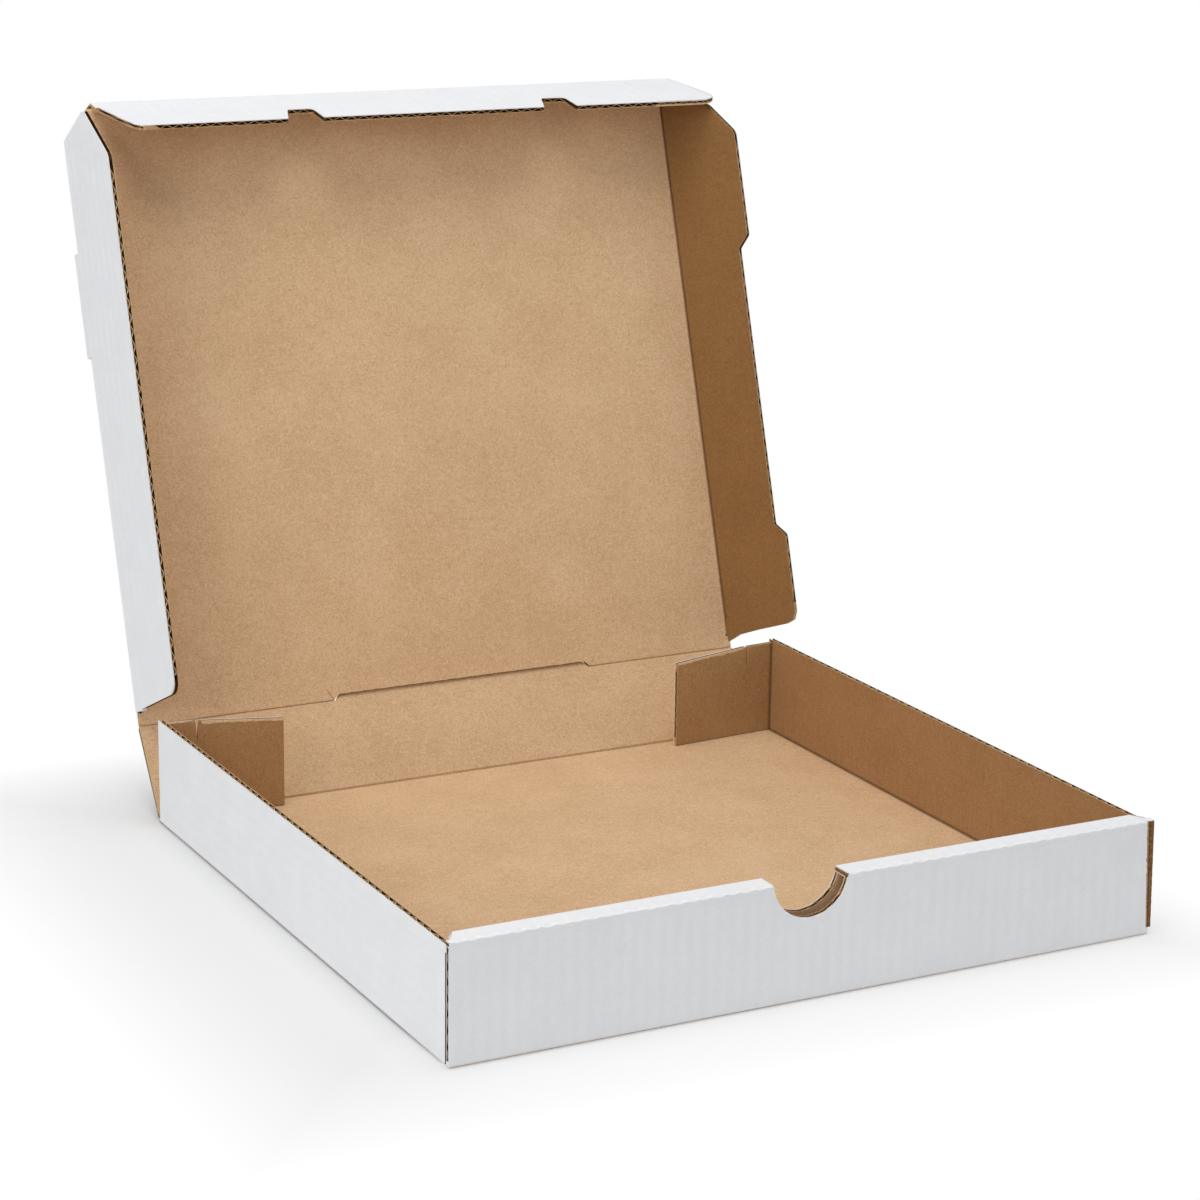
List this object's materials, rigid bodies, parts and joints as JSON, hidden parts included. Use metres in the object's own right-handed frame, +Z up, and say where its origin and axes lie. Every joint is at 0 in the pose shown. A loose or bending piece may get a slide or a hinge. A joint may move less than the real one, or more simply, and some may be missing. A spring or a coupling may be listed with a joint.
{
  "type": "pizza box",
  "caption": "Square pizza box folded from corrugated board, white outside and kraft inside, with a rolled front wall, thumb notch and hinged tuck-in lid.",
  "frame": {"origin": "centre of the floor's underside, between the side walls and the front and rear floor creases", "axes": "+Z up, -Y towards the front wall, +X to the right seen from the front"},
  "size_m": [0.3467, 0.4446, 0.3193],
  "materials": {
    "board": "matte"
  },
  "bodies": {
    "tray": {"tray": "board"},
    "rear_wall": {"rear_wall": "board"},
    "lid": {"lid_panel": "board"},
    "left_flap": {"lid_left_flap": "board"},
    "right_flap": {"lid_right_flap": "board"},
    "front_flap": {"lid_front_flap": "board"}
  },
  "joints": [
    {"name": "rear_wall_fold", "type": "hinge", "parent": "tray", "child": "rear_wall", "pos_m": [0, 0.16, 0], "axis": [-1, 0, 0], "range_deg": [-45, 45]},
    {"name": "lid_hinge", "type": "hinge", "parent": "rear_wall", "child": "lid", "pos_m": [0, 0.19288, 0.03642], "axis": [-1, 0, 0], "range_deg": [-62.5, 27.5]},
    {"name": "left_flap_fold", "type": "hinge", "parent": "lid", "child": "left_flap", "pos_m": [-0.1615, 0.19526, 0.03566], "axis": [0, -0.3007, -0.9537], "range_deg": [0, 97]},
    {"name": "right_flap_fold", "type": "hinge", "parent": "lid", "child": "right_flap", "pos_m": [0.1615, 0.19526, 0.03566], "axis": [0, 0.3007, 0.9537], "range_deg": [-30, 63]},
    {"name": "front_flap_fold", "type": "hinge", "parent": "lid", "child": "front_flap", "pos_m": [0, 0.28472, 0.31939], "axis": [-1, 0, 0], "range_deg": [0, 117]}
  ]
}
